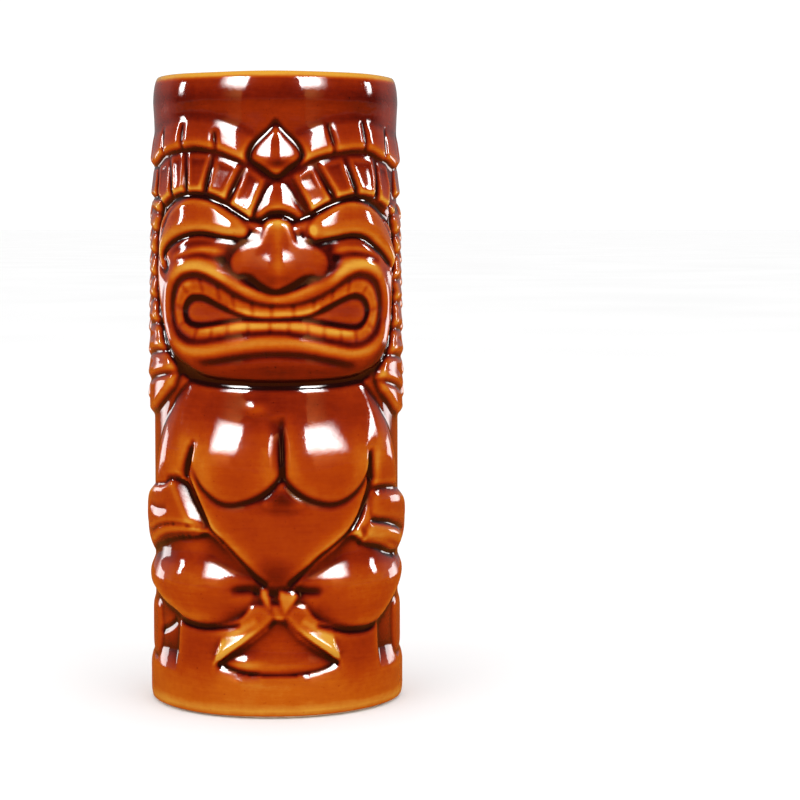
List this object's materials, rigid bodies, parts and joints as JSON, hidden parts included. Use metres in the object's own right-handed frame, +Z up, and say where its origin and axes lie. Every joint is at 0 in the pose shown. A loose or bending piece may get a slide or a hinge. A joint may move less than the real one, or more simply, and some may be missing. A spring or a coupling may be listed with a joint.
{
  "type": "tiki mug",
  "caption": "Tall cylindrical ceramic cup with a carved-figure relief, amber-brown glaze inside and out, and a bare foot ring.",
  "frame": {"origin": "centre of the foot, on the table", "axes": "+Z up along the cup's axis, the face towards -Y, +X to the viewer's right"},
  "size_m": [0.0648, 0.0663, 0.156],
  "materials": {
    "clay": "matt",
    "brown_glaze": "gloss",
    "liner_glaze": "gloss"
  },
  "bodies": {
    "root": {"clay_body": "clay", "outside_glaze": "brown_glaze", "inside_glaze": "liner_glaze", "underside_glaze": "liner_glaze"}
  },
  "joints": []
}
